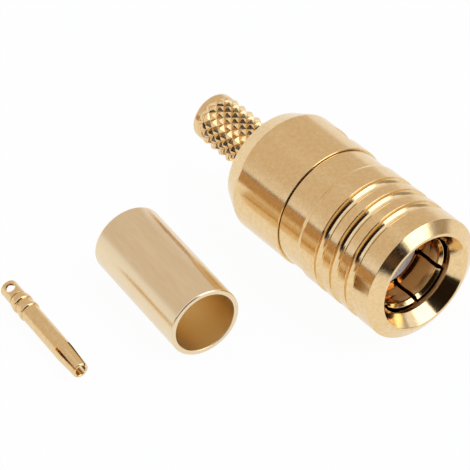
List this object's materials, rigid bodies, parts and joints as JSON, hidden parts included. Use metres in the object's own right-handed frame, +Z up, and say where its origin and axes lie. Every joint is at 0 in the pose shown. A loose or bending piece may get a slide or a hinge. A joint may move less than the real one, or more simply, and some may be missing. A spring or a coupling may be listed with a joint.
{
  "type": "coaxial connector",
  "caption": "Push-on coaxial cable plug laid out in pieces: a barrel body with slotted spring fingers and a knurled crimp stem, a plain crimp ferrule and a slotted centre contact.",
  "frame": {"origin": "middle of the lip inside the spring fingers, on the connector body's axis", "axes": "+X along the connector body's axis, out of its mouth; +Z up, away from the surface that the pieces lie on"},
  "size_m": [0.0157, 0.0177, 0.0064],
  "materials": {
    "gold_plated_brass": "bright gold plating over brass",
    "gold_plated_spring": "bright gold plating over spring alloy",
    "gold_plated_contact": "bright gold plating over brass",
    "gold_plated_ferrule": "gold plating, slightly drawn along its length",
    "white_insulator": "turned white fluoroplastic, matt"
  },
  "bodies": {
    "root": {"rear_body": "gold_plated_brass", "front_shell": "gold_plated_brass", "outer_contact": "gold_plated_spring", "insulator": "white_insulator", "centre_contact": "gold_plated_contact", "crimp_ferrule": "gold_plated_ferrule"}
  },
  "joints": []
}
